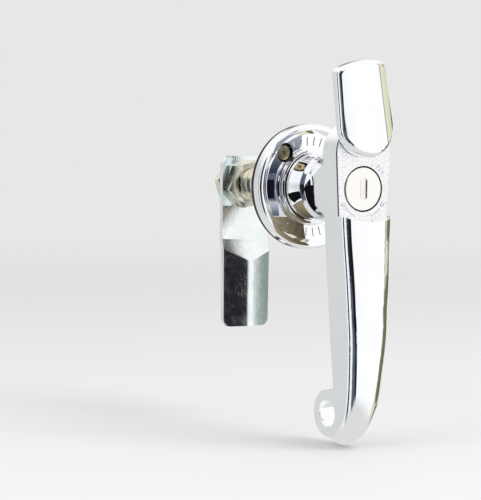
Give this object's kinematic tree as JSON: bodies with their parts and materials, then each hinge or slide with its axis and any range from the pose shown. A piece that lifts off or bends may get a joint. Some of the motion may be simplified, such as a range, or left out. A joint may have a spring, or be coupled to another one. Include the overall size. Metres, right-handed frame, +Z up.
{
  "type": "cabinet handle lock",
  "caption": "L-handle lock for a cabinet door: swinging grip with padlock eye, key cylinder under a pivoting dust cap, round rosette, threaded spindle and joggled cam plate.",
  "frame": {"origin": "on the spindle's axis, in the plane of the door's front face, where the gasket lies", "axes": "+X to the right of someone facing the door, +Y through the door away from them, +Z up; the handle hangs down along -Z"},
  "size_m": [0.052, 0.1105, 0.1546],
  "materials": {
    "rosette_chrome": "polished",
    "gasket_rubber": "matte",
    "screw_zinc": "yellow zinc, dull",
    "bush_plastic": "matte",
    "handle_chrome": "polished, face round the lock sand-textured",
    "sleeve_dark": "dark, turned",
    "pin_steel": "ground",
    "plug_nickel": "satin nickel, warm",
    "shutter_steel": "satin",
    "wafer_brass": "stamped",
    "spring_steel": "oiled",
    "inner_zinc": "die-cast, dull",
    "washer_steel": "zinc plated",
    "spindle_zinc": "yellow zinc plated",
    "nut_zinc": "yellow zinc plated",
    "cam_zinc": "blue zinc plated, rolled sheet",
    "cap_chrome": "polished"
  },
  "bodies": {
    "rosette": {"rosette": "rosette_chrome", "door_gasket": "gasket_rubber", "rosette_screws": "screw_zinc", "hub_bush": "bush_plastic"},
    "handle": {"handle_body": "handle_chrome", "lock_sleeve": "sleeve_dark", "sleeve_pin": "pin_steel", "stop_pin": "pin_steel", "thrust_washer": "washer_steel", "disc_spring": "spring_steel", "neck_circlip": "spring_steel", "spindle": "spindle_zinc", "spindle_cross_pin": "pin_steel", "front_nut": "nut_zinc", "cam_plate": "cam_zinc", "cam_lock_washer": "washer_steel", "rear_nut": "nut_zinc"},
    "plug": {"lock_plug": "plug_nickel", "keyway_shutter": "shutter_steel", "plug_wafers": "wafer_brass", "wafer_springs": "spring_steel", "plug_retaining_clip": "spring_steel", "plug_driver": "inner_zinc"},
    "bolt": {"locking_bolt": "inner_zinc"},
    "cap": {"dust_cap": "cap_chrome", "cap_pivot_pin": "pin_steel", "cap_spring_washer": "spring_steel"}
  },
  "joints": [
    {"name": "handle_turn", "type": "hinge", "parent": "rosette", "child": "handle", "pos_m": [0, 0, 0], "axis": [0, -1, 0], "range_deg": [0, 90]},
    {"name": "plug_turn", "type": "hinge", "parent": "handle", "child": "plug", "pos_m": [0, -0.04, 0], "axis": [0, 1, 0], "range_deg": [0, 90]},
    {"name": "bolt_slide", "type": "slide", "parent": "handle", "child": "bolt", "axis": [0, 0, -1], "range_m": [0, 0.00354]},
    {"name": "cap_swing", "type": "hinge", "parent": "handle", "child": "cap", "pos_m": [0, -0.04, 0.0195], "axis": [0, -1, 0], "range_deg": [-189.5, 170.5]}
  ],
  "couplings": [
    {"joint": "bolt_slide", "follows": "plug_turn", "m_per_rad": 0.0022508}
  ]
}
